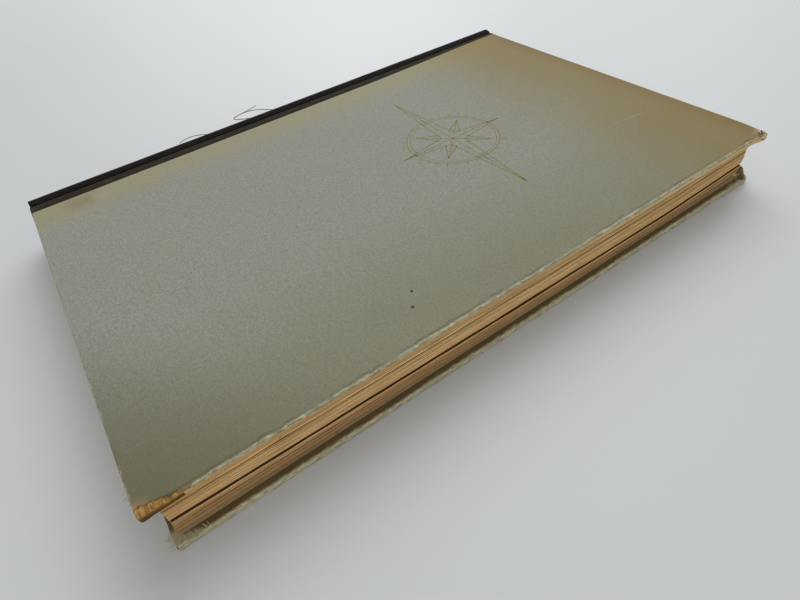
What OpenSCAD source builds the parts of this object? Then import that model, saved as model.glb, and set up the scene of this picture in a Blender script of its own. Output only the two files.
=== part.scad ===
// Quarter-bound logbook: two stiff covers, a hollow cloth spine and a sewn block of folded sheets.
// The book lies on its back cover. +X runs from the spine to the fore edge, +Y from tail to head.
// The origin is under the middle of the closed book.

/* [Covers] */
// Width from the outer face of the spine to the fore edge of the covers
cover_w = 146; // [100:1:220]
// Height of the covers, tail to head
cover_h = 217; // [140:1:320]
// Thickness of a cover board
board_t = 1.9; // [1.2:0.1:3.5]
// Thickness of the covering paper
skin_t = 0.15; // [0.08:0.01:0.3]
// Width of the covering paper folded over onto the inside of a board
turn_in = 14; // [8:1:22]
// Thickness of a pastedown
paste_t = 0.14; // [0.08:0.01:0.25]
// Strip of turned-in paper that a pastedown leaves showing
paste_margin = 2.5; // [1:0.5:6]

/* [Leaves] */
// Thickness of one leaf
leaf_t = 0.13; // [0.08:0.01:0.2]
// Air between two leaves of a section
leaf_air = 0.0475; // [0.02:0.0025:0.1]
// Folded sheets in a section
sheets = 5; // [3:1:7]
// Sections in each half of the block, as many as there are section nodes
half_sections = 4; // [4:1:4]
// Thickness of a flyleaf
fly_t = 0.14; // [0.08:0.01:0.25]
// How far the covers stand past the leaves at head and tail
end_square = 3.5; // [1:0.5:8]
// How far the covers stand past the leaves at the fore edge
fore_square = 3; // [1:0.5:8]

/* [Spine] */
// Thickness of the book cloth
cloth_t = 0.3; // [0.2:0.05:0.5]
// Thickness of the card that stiffens the spine
card_t = 0.9; // [0.5:0.1:2]
// Hollow between the card and the lining of the block
hollow = 0.8; // [0.4:0.1:2]
// Thickness of the paper lining glued to the block
lining_t = 0.3; // [0.15:0.05:0.6]
// How far the lining stops short of the head and tail of the leaves
lining_inset = 4; // [1:1:15]
// Thickness of the open-weave mull
mull_t = 0.25; // [0.15:0.05:0.5]
// How far the mull stops short of the head and tail of the leaves
mull_inset = 18; // [8:1:30]
// Thickness of the sewing thread
thread_d = 0.35; // [0.2:0.05:0.6]
// Sewing stations along the spine
stations = 6; // [3:1:9]
// Distance of the last stitch from the head or tail of the leaves
kettle_inset = 12; // [6:1:20]

/* [Joints] */
// Distance from the outer face of the spine to the edge of a board
joint_w = 6.5; // [6:0.1:10]
// Distance from the outer face of the spine to the line that the front cover turns on
hinge_x = 4; // [3.6:0.1:4.5]
// Drop from the face of a cover to the shoulder of the cloth beside the spine
shoulder_drop = 0.6; // [0.5:0.05:0.7]
// Width of that shoulder
shoulder_w = 3.2; // [2.6:0.1:3.4]
// Drop from the face of a cover to the bottom of the groove
groove_drop = 1.4; // [0.9:0.05:1.5]
// Distance from the spine to the edge of the cover paper
paper_x = 11.2; // [9:0.1:20]
// Width of cloth tucked under the edge of the cover paper
tuck = 1.8; // [1:0.1:4]
// Width of mull glued under a pastedown
mull_flange = 24; // [12:1:35]

/* [Clearances] */
// Gap between a flyleaf and what it lies against
fly_gap = 0.1; // [0.05:0.01:0.3]
// Gap between the two halves of the block
half_gap = 0.1; // [0.05:0.01:0.3]
// Gap between pieces of the case that turn on each other
case_gap = 0.1; // [0.05:0.01:0.2]
// Gap between the folds, the thread and the mull
sew_gap = 0.01; // [0.005:0.005:0.05]
// Distance of the middle opening's turning line from the lining
pivot_gap = 0.15; // [0.1:0.01:0.3]

/* [Hidden] */
$fn = 48;
cut = 1;
leaf_pitch = leaf_t + leaf_air;
section_t = 2 * sheets * leaf_pitch;
half_t = half_sections * section_t;
board_face = skin_t + board_t;
cover_t = board_face + paste_t;
fly_z = cover_t + fly_gap;
block_z = fly_z + fly_t + fly_gap;
book_t = 2 * (block_z + half_t) + half_gap;
leaf_h = cover_h - 2 * end_square;
leaf_edge = cover_w - fore_square;
lining_x = cloth_t + card_t + hollow;
mull_x = lining_x + lining_t;
thread_x = mull_x + mull_t + sew_gap;
fold_x = thread_x + thread_d + sew_gap;
pivot_x = lining_x - pivot_gap;
panel_z = shoulder_drop + cloth_t + case_gap;
cloth_start = cloth_t + 2 * case_gap;
station_step = (leaf_h - 2 * kettle_inset) / (stations - 1);

cloth_colour = [0.16, 0.12, 0.09];
paper_colour = [0.52, 0.54, 0.50];
board_colour = [0.60, 0.48, 0.30];
leaf_colour = [0.80, 0.70, 0.52];
end_colour = [0.82, 0.76, 0.62];
mull_colour = [0.78, 0.74, 0.62];
lining_colour = [0.55, 0.40, 0.25];
thread_colour = [0.88, 0.84, 0.72];

// part node to show, or all of them

// Everything is drawn with the outer face of the spine at x = 0 and moved here at the end.
module placed() {
  translate([-cover_w / 2, 0, 0])
    children();
}

// Turns a piece made for the back half of the book into the same piece of the front half.
module front_side() {
  translate([0, 0, book_t])
    mirror([0, 0, 1])
      children();
}

// A box given by its low and high corners in X and Z, centred along Y.
module bar(x0, x1, z0, z1, length) {
  translate([x0, -length / 2, z0])
    cube([x1 - x0, length, z1 - z0]);
}

// Draws an X-Z outline out along Y.
module along_y(length) {
  rotate([90, 0, 0])
    linear_extrude(height = length, center = true)
      children();
}

// --- covers ---

module side_paper() {
  difference() {
    bar(paper_x, cover_w, 0, board_face, cover_h);
    bar(paper_x - cut, cover_w - skin_t, skin_t, board_face - skin_t, cover_h - 2 * skin_t);
    bar(paper_x - cut, cover_w - turn_in, board_face / 2, board_face + cut, cover_h - 2 * turn_in);
  }
}

// The cloth from the spine's shoulder down into the groove and out over the board.
module cloth_profile() {
  polygon([
    [cloth_start, shoulder_drop],
    [shoulder_w, shoulder_drop],
    [shoulder_w + groove_drop, groove_drop],
    [joint_w - cloth_t, groove_drop],
    [joint_w - cloth_t, skin_t],
    [paper_x + tuck, skin_t],
    [paper_x + tuck, skin_t + cloth_t],
    [joint_w, skin_t + cloth_t],
    [joint_w, groove_drop + cloth_t],
    [shoulder_w + groove_drop - cloth_t, groove_drop + cloth_t],
    [shoulder_w - cloth_t, shoulder_drop + cloth_t],
    [cloth_start, shoulder_drop + cloth_t]
  ]);
}

module side_cloth() {
  along_y(cover_h - 2 * skin_t)
    cloth_profile();
  // turned in over the head and tail of the board
  difference() {
    bar(joint_w, paper_x, skin_t, board_face, cover_h - 2 * skin_t);
    bar(joint_w - cut, paper_x + cut, skin_t + cloth_t, board_face - cloth_t, cover_h - 2 * (skin_t + cloth_t));
    bar(joint_w - cut, paper_x + cut, board_face / 2, board_face + cut, cover_h - 2 * turn_in);
  }
}

module side_mull() {
  bar(joint_w, joint_w + mull_flange, board_face - mull_t, board_face, leaf_h - 2 * mull_inset);
}

// The board fills what its paper, cloth and mull leave, so that all of them lie flush.
module side_board() {
  difference() {
    bar(joint_w, cover_w - skin_t, skin_t, board_face, cover_h - 2 * skin_t);
    side_paper();
    side_cloth();
    side_mull();
  }
}

module side_pastedown() {
  bar(joint_w, cover_w - paste_margin, board_face, cover_t, cover_h - 2 * paste_margin);
}

module side_flyleaf() {
  bar(hinge_x + 3 * case_gap, leaf_edge, fly_z, fly_z + fly_t, leaf_h);
}

module back_board() {
  color(board_colour)
    placed()
      side_board();
}

module back_paper() {
  color(paper_colour)
    placed()
      side_paper();
}

module back_cloth() {
  color(cloth_colour)
    placed()
      side_cloth();
}

module back_mull() {
  color(mull_colour)
    placed()
      side_mull();
}

module back_pastedown() {
  color(end_colour)
    placed()
      side_pastedown();
}

module rear_flyleaf() {
  color(end_colour)
    placed()
      side_flyleaf();
}

module front_board() {
  color(board_colour)
    placed()
      front_side()
        side_board();
}

module front_paper() {
  color(paper_colour)
    placed()
      front_side()
        side_paper();
}

module front_cloth() {
  color(cloth_colour)
    placed()
      front_side()
        intersection() {
          side_cloth();
          bar(hinge_x + case_gap, cover_w, 0, cover_t, cover_h);
        }
}

module front_mull() {
  color(mull_colour)
    placed()
      front_side()
        side_mull();
}

module front_pastedown() {
  color(end_colour)
    placed()
      front_side()
        side_pastedown();
}

module front_flyleaf() {
  color(end_colour)
    placed()
      front_side()
        side_flyleaf();
}

// --- spine of the case ---

module joint_cloth() {
  color(cloth_colour)
    placed()
      front_side()
        intersection() {
          side_cloth();
          bar(0, hinge_x - case_gap, 0, cover_t, cover_h);
        }
}

module spine_cloth() {
  color(cloth_colour)
    placed()
      bar(0, cloth_t, panel_z, book_t - panel_z, cover_h - 2 * skin_t);
}

module spine_card() {
  color(board_colour)
    placed()
      bar(cloth_t, cloth_t + card_t, panel_z, book_t - panel_z, cover_h - 2 * (skin_t + cloth_t));
}

// --- block of leaves ---

// One side of a folded sheet's outline, filled in: r is from the fold's middle to that side.
module sheet_fill(r, edge) {
  circle(r = r);
  translate([0, -r])
    square([edge, 2 * r]);
}

// A section is a nest of sheets folded round one line, cut off together at the fore edge.
module section(middle_z) {
  fold_r = section_t / 2;
  reach = leaf_edge - fold_x - fold_r;
  translate([fold_x + fold_r, 0, middle_z])
    for (i = [0 : sheets - 1]) {
      r = fold_r - leaf_air / 2 - i * leaf_pitch;
      along_y(leaf_h)
        difference() {
          sheet_fill(r, reach);
          sheet_fill(r - leaf_t, reach + cut);
        }
    }
}

// Sections are counted from the middle of the block towards the back cover.
module rear_section(place) {
  color(leaf_colour)
    placed()
      section(block_z + half_t - (place + 0.5) * section_t);
}

module front_section(place) {
  color(leaf_colour)
    placed()
      front_side()
        section(block_z + half_t - (place + 0.5) * section_t);
}

module section_1() {
  front_section(3);
}

module section_2() {
  front_section(2);
}

module section_3() {
  front_section(1);
}

module section_4() {
  front_section(0);
}

module section_5() {
  rear_section(0);
}

module section_6() {
  rear_section(1);
}

module section_7() {
  rear_section(2);
}

module section_8() {
  rear_section(3);
}

// The runs of thread that link one section to the next over the folds.
module half_sewing() {
  for (i = [0 : stations - 1])
    translate([thread_x + thread_d / 2, i * station_step - leaf_h / 2 + kettle_inset, block_z])
      cylinder(d = thread_d, h = half_t);
}

module half_mull() {
  bar(mull_x, mull_x + mull_t, block_z, block_z + half_t, leaf_h - 2 * mull_inset);
}

module half_lining() {
  difference() {
    bar(lining_x, mull_x + mull_t, block_z, block_z + half_t, leaf_h - 2 * lining_inset);
    half_mull();
  }
}

module rear_sewing() {
  color(thread_colour)
    placed()
      half_sewing();
}

module rear_spine_mull() {
  color(mull_colour)
    placed()
      half_mull();
}

module rear_lining() {
  color(lining_colour)
    placed()
      half_lining();
}

module front_sewing() {
  color(thread_colour)
    placed()
      front_side()
        half_sewing();
}

module front_spine_mull() {
  color(mull_colour)
    placed()
      front_side()
        half_mull();
}

module front_lining() {
  color(lining_colour)
    placed()
      front_side()
        half_lining();
}

back_board();
back_paper();
back_cloth();
back_mull();
back_pastedown();
rear_flyleaf();
section_8();
section_7();
section_6();
section_5();
rear_sewing();
rear_spine_mull();
rear_lining();
section_4();
section_3();
section_2();
section_1();
front_sewing();
front_spine_mull();
front_lining();
spine_card();
spine_cloth();
joint_cloth();
front_flyleaf();
front_board();
front_paper();
front_cloth();
front_mull();
front_pastedown();
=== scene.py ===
import math
import random

import bmesh
import bpy
from mathutils import Matrix, Vector, noise


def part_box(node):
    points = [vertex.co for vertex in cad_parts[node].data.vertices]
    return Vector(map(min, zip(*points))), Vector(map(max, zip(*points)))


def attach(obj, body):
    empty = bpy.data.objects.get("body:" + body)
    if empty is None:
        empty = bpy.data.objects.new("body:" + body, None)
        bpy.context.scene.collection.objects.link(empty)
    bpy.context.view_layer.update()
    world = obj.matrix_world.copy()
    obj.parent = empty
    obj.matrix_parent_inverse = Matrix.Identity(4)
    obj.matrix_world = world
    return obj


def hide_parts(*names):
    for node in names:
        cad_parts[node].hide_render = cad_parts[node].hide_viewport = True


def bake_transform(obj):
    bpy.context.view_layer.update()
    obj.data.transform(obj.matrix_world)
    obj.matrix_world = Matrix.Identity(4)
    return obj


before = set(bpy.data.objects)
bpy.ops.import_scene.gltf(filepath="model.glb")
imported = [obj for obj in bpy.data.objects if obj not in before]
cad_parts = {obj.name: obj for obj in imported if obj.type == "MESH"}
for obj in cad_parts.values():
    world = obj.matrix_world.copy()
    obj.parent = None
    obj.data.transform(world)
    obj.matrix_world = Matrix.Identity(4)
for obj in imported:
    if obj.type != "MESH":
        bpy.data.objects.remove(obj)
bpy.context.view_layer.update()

MM = 0.001

# ---------------------------------------------------------------- sizes, from the frame

PAPER_LOW, PAPER_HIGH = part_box("front_paper")
SHEET_LOW, SHEET_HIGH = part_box("section_8")
FLY_LOW, FLY_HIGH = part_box("front_flyleaf")
REAR_FLY_LOW, REAR_FLY_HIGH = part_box("rear_flyleaf")
PASTE_LOW, PASTE_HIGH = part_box("front_pastedown")
BACK_PASTE_LOW, BACK_PASTE_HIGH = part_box("back_pastedown")

THICK = PAPER_HIGH.z
SPINE_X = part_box("spine_cloth")[0].x
FORE_X = PAPER_HIGH.x
HALF_H = PAPER_HIGH.y
PAPER_X = PAPER_LOW.x
BOARD_X = PASTE_LOW.x
COVER_T = THICK - PASTE_HIGH.z          # from a cover's face to its board's inner face
SKIN_T = 0.15 * MM                      # covering paper
TURN_IN = 14 * MM                       # paper and cloth folded over on to a board's inner face
EDGE_ROUND = 0.42 * MM                  # radius of a cover's worn edge
WELD = 1e-6                             # places closer than this are one
LEAF_EDGE = SHEET_HIGH.x
LEAF_HALF_H = SHEET_HIGH.y


def lerp(a, b, t):
    return a + (b - a) * t


def smooth(t):
    t = min(max(t, 0.0), 1.0)
    return t * t * (3 - 2 * t)


def between(value, low, high):
    return smooth((value - low) / (high - low))


def along(table, value):
    """Straight-line value at a place in a short table of (place, value)."""
    for (a, va), (b, vb) in zip(table, table[1:]):
        if value <= b:
            return lerp(va, vb, min(max((value - a) / (b - a), 0.0), 1.0))
    return table[-1][1]


def wander(x, y, z, size):
    """Smooth noise from -1 to 1 that changes over a distance of size."""
    return noise.noise(Vector((x, y, z)) / size)


# ---------------------------------------------------------------- materials

class Num:
    """A number that varies over a surface; arithmetic on it adds Math nodes."""

    def __init__(self, paint, socket):
        self.paint, self.socket = paint, socket

    def op(self, kind, *others):
        return self.paint.math(kind, self, *others)

    def __add__(self, other):
        return self.op("ADD", other)

    __radd__ = __add__

    def __sub__(self, other):
        return self.op("SUBTRACT", other)

    def __rsub__(self, other):
        return self.paint.math("SUBTRACT", other, self)

    def __mul__(self, other):
        return self.op("MULTIPLY", other)

    __rmul__ = __mul__

    def __truediv__(self, other):
        return self.op("DIVIDE", other)


class Paint:
    """One procedural material, read from Object coordinates in millimetres."""

    def __init__(self, name, roughness=0.9, specular=0.3, **fixed):
        self.material = bpy.data.materials.new(name)
        self.material.use_nodes = True
        self.tree = self.material.node_tree
        self.tree.nodes.clear()
        self.out = self.add("ShaderNodeOutputMaterial")
        self.shader = self.add("ShaderNodeBsdfPrincipled")
        self.shader.inputs["Roughness"].default_value = roughness
        self.shader.inputs["Specular IOR Level"].default_value = specular
        for key, value in fixed.items():
            self.shader.inputs[key.replace("_", " ")].default_value = value
        self.tree.links.new(self.shader.outputs[0], self.out.inputs[0])
        place = self.add("ShaderNodeTexCoord").outputs["Object"]
        scaled = self.add("ShaderNodeVectorMath", {"operation": "SCALE"}, {0: place, "Scale": 1000.0})
        self.place = scaled.outputs[0]
        split = self.add("ShaderNodeSeparateXYZ", {}, {0: self.place})
        self.x, self.y, self.z = (Num(self, split.outputs[i]) for i in range(3))

    def add(self, kind, settings=None, values=None, stops=None):
        """Any node: its type, its settings, its ramp stops, then what its sockets hold."""
        node = self.tree.nodes.new(kind)
        for key, value in (settings or {}).items():
            setattr(node, key, value)
        if stops:
            ramp = node.color_ramp
            while len(ramp.elements) < len(stops):
                ramp.elements.new(0.5)
            for element, (position, shade) in zip(ramp.elements, stops):
                element.position = position
                element.color = (*shade, 1.0)
        for key, value in (values or {}).items():
            if isinstance(value, Num):
                value = value.socket
            if isinstance(value, bpy.types.NodeSocket):
                self.tree.links.new(value, node.inputs[key])
            else:
                node.inputs[key].default_value = value
        return node

    def math(self, kind, *terms):
        """One Math node on numbers or varying values."""
        node = self.add("ShaderNodeMath", {"operation": kind}, dict(enumerate(terms)))
        return Num(self, node.outputs[0])

    def vector(self, x, y, z):
        return self.add("ShaderNodeCombineXYZ", {}, {0: x, 1: y, 2: z}).outputs[0]

    def step(self, value, low, high):
        """0 below low, 1 above high, smooth between; low may be the larger."""
        node = self.add("ShaderNodeMapRange", {"interpolation_type": "SMOOTHSTEP"},
                        {"Value": value, "From Min": low, "From Max": high})
        return Num(self, node.outputs[0])

    def cloud(self, size, detail=2.0, rough=0.5, stretch=(1, 1, 1), shift=0.0):
        """Noise from 0 to 1 with lumps about size millimetres across."""
        vector = self.vector(self.x / stretch[0], self.y / stretch[1], self.z / stretch[2] + shift)
        node = self.add("ShaderNodeTexNoise", {},
                        {"Vector": vector, "Scale": 1.0 / size, "Detail": detail, "Roughness": rough})
        return Num(self, node.outputs[0])

    def noise_at(self, vector, detail):
        """Noise from 0 to 1 over a place given in lumps."""
        node = self.add("ShaderNodeTexNoise", {}, {"Vector": vector, "Scale": 1.0, "Detail": detail})
        return Num(self, node.outputs[0])

    def cells(self, size, stretch=(1, 1, 1)):
        """Distance to the nearest of scattered points about size millimetres apart."""
        vector = self.vector(self.x / stretch[0], self.y / stretch[1], self.z / stretch[2])
        node = self.add("ShaderNodeTexVoronoi", {}, {"Vector": vector, "Scale": 1.0 / size})
        return Num(self, node.outputs["Distance"])

    def mix(self, amount, first, second, blend="MIX"):
        """First colour at an amount of 0, second at 1."""
        node = self.add("ShaderNodeMix", {"data_type": "RGBA", "blend_type": blend},
                        {"Factor": amount, 6: self.shade(first), 7: self.shade(second)})
        return node.outputs[2]

    def shade(self, value):
        return (*value, 1.0) if isinstance(value, tuple) else value

    def spot(self, x, y, radius, edge):
        """1 inside a round mark on a cover's face."""
        dx, dy = self.x - x, self.y - y
        return self.step(self.math("SQRT", dx * dx + dy * dy), radius + edge, radius - edge)

    def segment(self, x0, y0, x1, y1, width):
        """1 along a straight mark between two places on a cover's face."""
        length = math.hypot(x1 - x0, y1 - y0)
        ux, uy = (x1 - x0) / length, (y1 - y0) / length
        dx, dy = self.x - x0, self.y - y0
        t = dx * ux + dy * uy
        off = self.math("ABSOLUTE", dx * uy - dy * ux)
        return self.step(off, width, 0.0) * self.step(t, 0.0, 3.0) * self.step(t, length, length - 3.0)

    def colour(self, value):
        self.tree.links.new(value, self.shader.inputs["Base Color"])

    def roughness(self, value):
        self.tree.links.new(value.socket, self.shader.inputs["Roughness"])

    def relief(self, height, depth):
        """Bump whose height of 1 stands for depth millimetres."""
        node = self.add("ShaderNodeBump", {}, {"Height": height, "Distance": depth * MM, "Strength": 1.0})
        self.tree.links.new(node.outputs[0], self.shader.inputs["Normal"])


def linear(r, g, b):
    """A screen colour of 0 to 255 as the renderer's light values."""
    def one(c):
        c /= 255.0
        return c / 12.92 if c <= 0.04045 else ((c + 0.055) / 1.055) ** 2.4
    return (one(r), one(g), one(b))


def cover_paper(name, front):
    """Grey flecked covering paper, toned brown at the head and olive at the fore edge."""
    p = Paint(name, roughness=0.88, specular=0.25)
    broad = p.cloud(38, 3, 0.55)
    patches = p.cloud(9, 3, 0.6, shift=7.0)
    grain = p.cloud(0.62, 3, 0.65)
    fleck = p.cloud(0.42, 1, 0.5, shift=3.0)
    base = p.mix(p.step(grain, 0.22, 0.78), linear(122, 125, 117), linear(152, 155, 146))
    base = p.mix(p.step(patches, 0.35, 0.7) * 0.3, base, linear(142, 142, 124))
    reach = (broad - 0.5) * 26.0
    head = p.step(p.y + reach, 38.0, 104.0)
    fore = p.step(p.x + reach * 0.6, 18.0, 72.0)
    tail_fore = p.step(p.x - p.y + reach, 112.0, 190.0)
    near_cloth = p.step(p.x + reach * 0.4, -42.0, -58.0)
    base = p.mix(fore * 0.55, base, linear(120, 117, 84))
    base = p.mix(tail_fore * 0.7, base, linear(88, 82, 54))
    base = p.mix(near_cloth * 0.6, base, linear(150, 142, 106))
    base = p.mix(head * 0.85, base, linear(132, 117, 74))
    base = p.mix(p.step(p.y + reach * 0.15, 99.0, 109.0) * 0.55, base, linear(122, 100, 62))
    base = p.mix(p.step(fleck, 0.60, 0.72) * 0.30, base, linear(88, 90, 86))
    base = p.mix(p.step(fleck, 0.34, 0.24) * 0.07, base, linear(196, 196, 182))
    if front:
        dots = p.spot(56.4, -29.1, 0.45, 0.25) + p.spot(61.3, -32.4, 0.5, 0.25)
        faint = p.spot(0.5, -34.7, 0.5, 0.4) + p.spot(7.5, -31.8, 0.4, 0.3)
        smudge = p.spot(-57.5, -92.0, 5.0, 4.0) * p.step(patches, 0.3, 0.6)
        crease = p.segment(33.8, 76.0, 37.4, 97.0, 0.45)
        base = p.mix(smudge * 0.45, base, linear(120, 104, 74))
        base = p.mix(crease * p.step(patches, 0.3, 0.6) * 0.22, base, linear(186, 178, 150))
        base = p.mix(faint * 0.5, base, linear(96, 92, 84))
        base = p.mix(dots * 0.9, base, linear(44, 40, 36))
    # rubbed edges: the paper's surface is gone along the fore edge and the corners
    depth = (THICK / MM - p.z) if front else p.z
    ragged = (p.cloud(3.2, 3, 0.6, shift=11.0) - 0.5) * 1.6
    to_fore = (FORE_X / MM) - p.x + ragged
    to_end = (HALF_H / MM) - p.math("ABSOLUTE", p.y) + ragged
    broken = p.step(p.cloud(5.0, 3, 0.65, stretch=(1, 3, 1), shift=17.0), 0.36, 0.56)
    inner_line = p.step(to_fore, 1.0, 1.25) * p.step(to_fore, 2.0, 1.5) * broken
    base = p.mix(inner_line * 0.5, base, linear(84, 78, 54))
    rim = p.step(to_fore, 1.05, 0.5) * (0.45 + 0.55 * broken)
    worn = p.math("MAXIMUM", rim, p.step(to_end, 0.55, 0.15) * 0.6)
    worn = p.math("MAXIMUM", worn, p.step(to_fore + to_end, 4.2, 3.0) * 0.8)
    # painted shade: the covers' inner faces, where they overhang the leaves, are masked here for a dark
    # brown that is partly the paper's toning and partly painted shadow
    inside = (p.step(depth, COVER_T / MM - 0.3, COVER_T / MM - 0.1)
              * p.step(to_fore, 0.5, 1.3) * p.step(to_end, 0.5, 1.3))
    if not front:
        inside = inside * p.step(to_fore + to_end * 0.6 + ragged * 2, 4.2, 6.4)
    edge_face = p.step(depth, 0.25, 0.8)
    if front:
        browned = p.mix(p.step(p.y, -30.0, 70.0), linear(196, 152, 94), linear(214, 188, 138))
        base = p.mix(edge_face * 0.9, base, browned)
    else:
        base = p.mix(edge_face * 0.75, base, linear(176, 172, 140))
    fibre = p.cloud(0.5, 3, 0.7, stretch=(1, 4, 1), shift=5.0)
    pale = p.mix(p.step(fibre, 0.35, 0.65), linear(142, 132, 98), linear(206, 200, 172))
    spread_down = p.step(depth, 0.95, 0.45) if front else 1.0
    base = p.mix(worn * (1 - inside) * spread_down * 0.8, base, pale)
    # dark brown of the inner faces: partly toning, partly painted shade
    base = p.mix(inside * 0.9, base, p.mix(patches, linear(78, 62, 34), linear(104, 86, 50)))
    p.colour(base)
    p.roughness(0.80 + 0.15 * patches)
    p.relief(grain * 0.6 + fleck * 0.25 + fibre * worn * 1.2, 0.09)
    return p.material


def book_cloth(name, tone):
    """Plain-weave cloth, brown-black, rubbed paler on its high threads; tone scales all its colours, so that
    a low tone gives a copy with painted shade.
    """
    p = Paint(name, roughness=0.85, specular=0.06, Sheen_Weight=0.04, Sheen_Roughness=0.5)
    pitch = 0.42
    uv = p.add("ShaderNodeSeparateXYZ", {}, {0: p.add("ShaderNodeUVMap").outputs[0]})
    s, t = Num(p, uv.outputs[0]) * 1000.0, Num(p, uv.outputs[1]) * 1000.0
    turn = 2 * math.pi / pitch
    over = p.math("SINE", s * (turn / 2)) * p.math("SINE", t * (turn / 2))
    warp = p.math("ABSOLUTE", p.math("SINE", s * (turn / 2)))
    weft = p.math("ABSOLUTE", p.math("SINE", t * (turn / 2)))
    lift = p.step(over, -0.15, 0.15)
    height = lift * warp + (1 - lift) * weft
    rub = p.cloud(6, 4, 0.65)
    slub = p.cloud(0.6, 2, 0.6, stretch=(1, 9, 1))
    dark = linear(*(c * tone for c in (20, 17, 14)))
    mid = linear(*(c * tone for c in (50, 42, 33)))
    high = linear(*(c * tone for c in (84, 70, 55)))
    base = p.mix(height, dark, mid)
    base = p.mix(p.step(slub, 0.5, 0.75) * 0.5, base, high)
    base = p.mix(p.step(rub, 0.52, 0.75) * height * 0.7, base, high)
    p.colour(base)
    p.roughness(0.72 + 0.22 * rub)
    p.relief(height + slub * 0.4, 0.14)
    return p.material


def leaf_paper():
    """Writing paper: faint ruling on its faces, browned and streaked along its cut edges, with painted
    shadow in the slits between bundles.
    """
    p = Paint("leaf_paper", roughness=0.9, specular=0.2)
    normal = p.add("ShaderNodeSeparateXYZ", {}, {0: p.add("ShaderNodeTexCoord").outputs["Normal"]})
    face = p.step(p.math("ABSOLUTE", Num(p, normal.outputs[2])), 0.6, 0.85)
    blotch = p.cloud(24, 4, 0.6)
    page = p.mix(p.step(blotch, 0.3, 0.75) * 0.6, linear(226, 212, 178), linear(204, 184, 140))
    near = p.math("MAXIMUM", p.step(p.x, LEAF_EDGE / MM - 14, LEAF_EDGE / MM),
                  p.step(p.math("ABSOLUTE", p.y), LEAF_HALF_H / MM - 12, LEAF_HALF_H / MM))
    page = p.mix(near * 0.6, page, linear(186, 152, 102))
    inside = (p.step(p.x, -58.0, -57.6) * p.step(p.x, LEAF_EDGE / MM - 7.0, LEAF_EDGE / MM - 7.4)
              * p.step(p.math("ABSOLUTE", p.y), LEAF_HALF_H / MM - 11, LEAF_HALF_H / MM - 11.4))
    rows = p.step(p.math("COSINE", p.y * (2 * math.pi / 6.5)), 0.985, 0.995)
    columns = p.step(p.math("COSINE", (p.x + 58.0) * (2 * math.pi / 17.9)), 0.9985, 0.9995)
    ruling = p.math("MAXIMUM", rows * 0.55, columns * 0.75) * inside
    page = p.mix(ruling, page, linear(126, 122, 118))
    count = Num(p, p.add("ShaderNodeAttribute", {"attribute_name": "leaf_count"}).outputs["Fac"])
    leaf = p.noise_at(p.vector(p.x / 90, p.y / 90, count * 0.9), 1.0)
    bundle = p.noise_at(p.vector(p.x / 200, p.y / 160, count * 0.16 + 5.0), 3.0)
    along_edge = p.cloud(13, 3, 0.6, stretch=(1, 1, 0.25), shift=9.0)
    edge = p.mix(p.step(leaf, 0.32, 0.68), linear(214, 166, 102), linear(252, 220, 160))
    edge = p.mix(p.step(bundle, 0.52, 0.70) * 0.4, edge, linear(204, 150, 86))
    edge = p.mix(p.step(along_edge, 0.5, 0.8) * 0.3, edge, linear(250, 214, 158))
    # leaf counts between which an open slit gets painted shadow, and how dark that painted shadow is, on the
    # leaf edges and on the pages near the edge
    for low, high, depth in ((19.2, 22.2, 0.96), (48.6, 50.6, 0.75), (56.2, 58.2, 0.6),
                             (9.6, 11.6, 0.8), (4.4, 6.4, 0.7)):
        slit_shadow = p.step(count, low, low + 0.8) * p.step(count, high, high - 0.8)
        edge = p.mix(slit_shadow * depth, edge, linear(72, 38, 10))
        at_edge = p.step(p.x, LEAF_EDGE / MM - 3.0, LEAF_EDGE / MM - 0.5)
        page = p.mix(slit_shadow * depth * at_edge, page, linear(84, 48, 18))
    edge = p.mix(p.step(count, 23.0, 8.0) * 0.65, edge, linear(158, 96, 36))
    edge = p.mix(p.step(p.y, -88.0, -108.0) * 0.35, edge, linear(180, 122, 60))
    p.colour(p.mix(face, edge, page))
    p.relief(leaf * 0.5 + p.cloud(0.8, 2, 0.6) * 0.3, 0.05)
    return p.material


def end_paper():
    """Cream endpaper with foxing and the dull tide marks of age."""
    p = Paint("end_paper", roughness=0.9, specular=0.2)
    blotch, fibre = p.cloud(30, 4, 0.6), p.cloud(0.5, 2, 0.6, stretch=(1, 3, 1))
    base = p.mix(p.step(blotch, 0.35, 0.75), linear(218, 202, 164), linear(190, 168, 122))
    near = p.math("MAXIMUM", p.step(p.x, FORE_X / MM - 16, FORE_X / MM - 2),
                  p.step(p.math("ABSOLUTE", p.y), HALF_H / MM - 16, HALF_H / MM - 2))
    base = p.mix(near * 0.7, base, linear(146, 118, 74))
    fox = p.step(p.cells(9), 0.10, 0.05) * p.step(blotch, 0.45, 0.55)
    base = p.mix(fox * 0.6, base, linear(138, 96, 54))
    base = p.mix(p.step(fibre, 0.55, 0.75) * 0.15, base, linear(236, 226, 200))
    p.colour(base)
    p.relief(fibre, 0.04)
    return p.material


def binders_board():
    """Ochre-brown strawboard, fibrous and split in layers at its worn corners."""
    p = Paint("binders_board", roughness=0.95, specular=0.1)
    fibre = p.cloud(0.7, 4, 0.7, stretch=(3, 1, 0.6))
    layer = p.cloud(0.28, 2, 0.5, stretch=(30, 30, 1), shift=2.0)
    base = p.mix(p.step(fibre, 0.3, 0.7), linear(112, 80, 38), linear(188, 150, 88))
    base = p.mix(p.step(layer, 0.5, 0.7) * 0.5, base, linear(96, 66, 34))
    # painted shade: the front board's lower layers, towards the leaves, are painted dark brown
    under = p.step(p.z, THICK / MM - 0.8, THICK / MM - 1.3) * p.step(p.z, THICK / MM - 4, THICK / MM - 3)
    base = p.mix(under * 0.8, base, linear(84, 52, 18))
    p.colour(base)
    p.relief(fibre + layer * 0.7, 0.25)
    return p.material


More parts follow.
